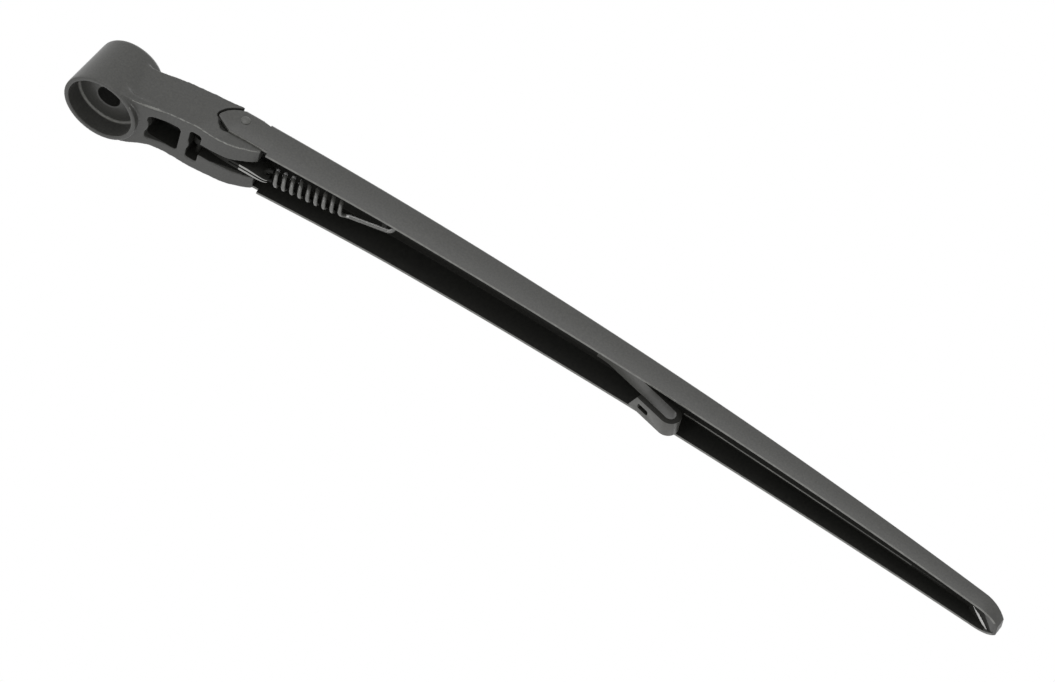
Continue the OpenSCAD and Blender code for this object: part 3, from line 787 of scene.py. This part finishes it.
def makeSpring():
    spring = {"wire": 0.95, "coil": 3.2, "turns": 8.74, "pitch": 3.83, "from": 34.6, "sag": 1.9, "roll": 0.55,
              "eye": 32.3, "lug": 2.4, "play": 2.6, "perTurn": 30, "lift": 0.9}
    r = spring["coil"]
    hookX = spring["eye"] + r - 1.0
    s0 = spring["from"]
    far = lineLength + spring["lug"] / 2 + spring["play"] + spring["wire"]
    path = [(hookX + 0.3, -r, 0)]
    for a in range(-90, -271, -10):
        t = math.radians(a)
        path.append((hookX + r * math.cos(t), r * math.sin(t), 0))
    count = round(spring["turns"] * spring["perTurn"])
    for i in range(1, count + 1):
        t = math.radians(90 - 360 * i / spring["perTurn"])
        path.append((s0 + spring["pitch"] * i / spring["perTurn"], r * math.sin(t), r * math.cos(t)))
    # the last turn runs straight out into the long loop
    outX = path[-1][0]
    # along the arm in millimetres, then across and up in coil radii
    runOut = [(0.5, 0.3, -0.9), (1.3, 0.6, -0.66), (2.4, 0.86, -0.36), (3.8, 1, -0.15)]
    path += [(outX + along, across * r, up * r) for along, across, up in runOut]
    for a in range(90, -91, -10):
        t = math.radians(a)
        up = spring["lift"] + (r - r * math.sin(t)) * spring["roll"]
        path.append((far - r + r * math.cos(t), r * math.sin(t), up))
    path += [(outX + along, -r, spring["lift"] + 2 * r * spring["roll"]) for along in (5, 3)]
    piece = roundBar("tensionSpring", path, spring["wire"], 3)
    # the coils hang a little under the straight line from the pin, turned about the anchor
    steep = lineAngle + math.radians(spring["sag"])
    piece.rotation_euler = (0, -steep, 0)
    piece.location = ((anchor["x"] - lineLength * math.cos(steep)) * mm, 0,
                      (anchor["z"] - lineLength * math.sin(steep)) * mm)
    finishPiece(piece, "tensionSpring", "tension_spring", "link", wireFinish, 60)

    def place(c):
        # along the arm from the link pin, and up from the spring's own line
        return c.x / mm - linkPin["x"], c.z / mm - (anchor["z"] - (anchor["x"] - c.x / mm) * math.tan(steep))

    def inShade(c, n):
        # painted shade: the sides of the coils turned to the roof, and the hook at the link, are painted near-black
        # where the channel's shade falls
        along, up = place(c)
        return along < s0 + 0.9 or (along < outX - 1.5 and 0.807 * c.y / mm + 0.56 * up > 0.7)

    def isGlinting(c, n):
        # painted highlight: the long leg and the crowns of the first coils are painted near-white as glints
        along, up = place(c)
        leg = outX + 3 < along < far - r + 1.4 and c.y > 0 and n.y < -0.5 and n.z > -0.5
        onFirst = s0 + 1 < along < s0 + 3.2 * spring["pitch"]
        crown = onFirst and up > 0.35 * r and c.y < 0.5 * mm and n.y < -0.2 and n.z > -0.6
        return leg or crown

    setInside(piece, paintedShade, inShade)
    setInside(piece, glintWhite, isGlinting)


makeSpring()


# Hook strip: anchor lug at one end, blade hook at the other

def makeStrip():
    strip = {"width": 9, "thick": 2.5, "dipStart": anchor["x"] + 110.3, "dipRadius": 30, "dip": 14.7,
             "upperLeg": 36.9, "gap": 5.4, "leg": 18.6, "slant": 0.38, "slantIn": 1.7, "lug": 2.4, "lugHalf": 1.45,
             "slotLength": 6.0, "slotWidth": 3.0, "slotRound": 0.9, "slotIn": 7.7, "edge": 0.45, "play": 0.1}
    t = strip["thick"]
    dip = math.radians(strip["dip"])

    def topAt(x):
        return roofZ(x) - arm["wall"] - strip["play"] - t / 2

    a0 = math.atan((strip["dipStart"] - arm["bowX"]) / arm["bow"] + 0.02)
    x0 = anchor["x"] - strip["lug"] / 2
    line = [(x, topAt(x)) for x in (x0 + (strip["dipStart"] - 2 - x0) * i / 11 for i in range(12))]
    radius = strip["dipRadius"]
    centre = (strip["dipStart"] - radius * math.sin(a0), topAt(strip["dipStart"]) - radius * math.cos(a0))
    for i in range(7):
        a = a0 + (dip - a0) * i / 6
        line.append((centre[0] + radius * math.sin(a), centre[1] + radius * math.cos(a)))
    down = (math.cos(dip), -math.sin(dip))
    inward = (-math.sin(dip), -math.cos(dip))
    bend = (strip["gap"] + t) / 2
    turn = (line[-1][0] + strip["upperLeg"] * down[0], line[-1][1] + strip["upperLeg"] * down[1])
    c = (turn[0] + bend * inward[0], turn[1] + bend * inward[1])
    for i in range(19):
        a = math.radians(90 - i * 10) - dip
        line.append((c[0] + bend * math.cos(a), c[1] + bend * math.sin(a)))
    line.append(tuple(c[i] + bend * inward[i] - strip["leg"] * down[i] for i in (0, 1)))

    # one cross edge, dragged along the line of the strip
    deselectAll()
    bpy.ops.mesh.primitive_plane_add(size=1, location=(0, 0, 0))
    piece = bpy.context.object
    step = line[1][0] - line[0][0]
    piece.scale = (step * mm, strip["width"] * mm, 1)
    piece.location = ((line[0][0] + step / 2) * mm, 0, line[0][1] * mm)
    bake(piece)
    pickEnd(piece, line[1][0])
    bpy.ops.transform.translate(value=(0, 0, (line[1][1] - line[0][1]) * mm))
    for was, now in zip(line[1:], line[2:]):
        move = ((now[0] - was[0]) * mm, 0, (now[1] - was[1]) * mm)
        bpy.ops.mesh.extrude_region_move(TRANSFORM_OT_translate={"value": move})
    bpy.ops.object.mode_set(mode="OBJECT")
    useModifier(piece, "SOLIDIFY", thickness=t * mm, offset=0, use_even_offset=True)

    lug = box(x0, x0 + strip["lug"], -strip["lugHalf"], strip["lugHalf"], anchor["z"] + 0.6, topAt(x0))
    cutWith(piece, lug, "UNION")
    foot = line[-1]

    def placeOnLeg(cutter, away):
        # turned with the leg, at a distance from its end
        cutter.rotation_euler = (0, dip, 0)
        cutter.location = ((foot[0] + away * down[0]) * mm, 0, (foot[1] + away * down[1]) * mm)
        bake(cutter)
        cutWith(piece, cutter)

    # the leg's end is cut at a slant
    corner = box(-12, 0, -12, 12, -5, 5)
    corner.rotation_euler = (0, 0, strip["slant"])
    bake(corner)
    placeOnLeg(corner, strip["slantIn"])
    long, wide = strip["slotLength"] / 2, strip["slotWidth"] / 2
    placeOnLeg(box(-long, long, -wide, wide, -5, 5, strip["slotRound"]), strip["slotIn"])
    useModifier(piece, "BEVEL", width=strip["edge"] * mm, segments=3, limit_method="ANGLE", angle_limit=math.radians(50))
    finishPiece(piece, "hookStrip", "hook_strap", "arm", stripCoatAndBendHighlight, 32)
    # painted shade: under the roof and on its sides the strip is painted near-black
    setInside(piece, paintedShade, lambda c, n: c.x < 0.238 or abs(n.y) > 0.85)
    # painted highlight along the hook's near lower edge
    setInside(piece, edgeHighlight, lambda c, n: c.x > 0.25 and c.y < -0.0035 and -0.85 <= n.y < -0.35 and n.z < -0.35)


makeStrip()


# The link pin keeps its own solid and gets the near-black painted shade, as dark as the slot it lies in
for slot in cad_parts["link_pin"].material_slots:
    slot.material = paintedShade


# Stage: a pale floor under the rim, seen through from below, white surroundings and soft lamps

def makeStage():
    stage = {"floorZ": -9.05, "size": 3.0, "tint": "#f2f2f0", "world": 0.6}
    deselectAll()
    bpy.ops.mesh.primitive_plane_add(size=stage["size"], location=(0.2, 0, stage["floorZ"] * mm))
    floor = bpy.context.object
    floor.name = "paleFloor"
    # the underside of the arm sees the room, not the floor it almost touches
    floor.visible_shadow = False
    floor.visible_diffuse = False
    floor.visible_glossy = False
    mat = bpy.data.materials.new("paleFloorPaint")
    mat.use_nodes = True
    tree = mat.node_tree
    paint = tree.nodes["Principled BSDF"]
    paint.inputs["Base Color"].default_value = linear(stage["tint"])
    paint.inputs["Roughness"].default_value = 0.9
    out = tree.nodes["Material Output"]
    side = addNode(tree, "ShaderNodeNewGeometry")
    clear = addNode(tree, "ShaderNodeBsdfTransparent")
    mix = addNode(tree, "ShaderNodeMixShader", {},
                  {0: side.outputs["Backfacing"], 1: paint.outputs["BSDF"], 2: clear.outputs["BSDF"]})
    tree.links.new(mix.outputs["Shader"], out.inputs["Surface"])
    floor.data.materials.append(mat)

    world = bpy.data.worlds.new("whiteRoom")
    bpy.context.scene.world = world
    world.use_nodes = True
    tree = world.node_tree
    back = tree.nodes["Background"]
    back.inputs["Color"].default_value = (1, 1, 1, 1)
    path = addNode(tree, "ShaderNodeLightPath")
    seen = addNode(tree, "ShaderNodeMath", {"operation": "MAXIMUM"},
                   {0: path.outputs["Is Camera Ray"], 1: path.outputs["Is Transmission Ray"]})
    seen = addNode(tree, "ShaderNodeMath", {"operation": "MAXIMUM"},
                   {0: seen.outputs["Value"], 1: path.outputs["Is Glossy Ray"]})
    level = addNode(tree, "ShaderNodeMapRange", {"To Min": stage["world"], "To Max": 1.0},
                    {"Value": seen.outputs["Value"]})
    tree.links.new(level.outputs["Result"], back.inputs["Strength"])

    lamps = [
        # name, place, aim, size, watts
        ("sideSoftbox", (-0.3, -3.0, 0.2), (0.2, 0, 0), 2.2, 18),
        ("lowSoftbox", (0.6, -1.6, -2.6), (0.2, 0, 0), 2.2, 1.5),
        ("edgeSoftbox", (-0.4, -1.7, -2.4), (0.2, 0, 0), 0.5, 9),
        ("endSoftbox", (-3.0, -0.7, -0.5), (0, 0, 0), 1.0, 9),
        ("topSoftbox", (0.2, 1.0, 3.0), (0.2, 0, 0), 2.4, 18),
    ]
    for name, place, aim, size, watts in lamps:
        bpy.ops.object.light_add(type="AREA", location=place)
        lamp = bpy.context.object
        lamp.name = name
        lamp.data.shape = "DISK"
        lamp.data.size = size
        lamp.data.energy = watts
        lamp.rotation_mode = "QUATERNION"
        lamp.rotation_quaternion = (Vector(place) - Vector(aim)).to_track_quat("Z", "Y")


makeStage()
print("stage ready")

bpy.context.scene.view_settings.view_transform = "Standard"
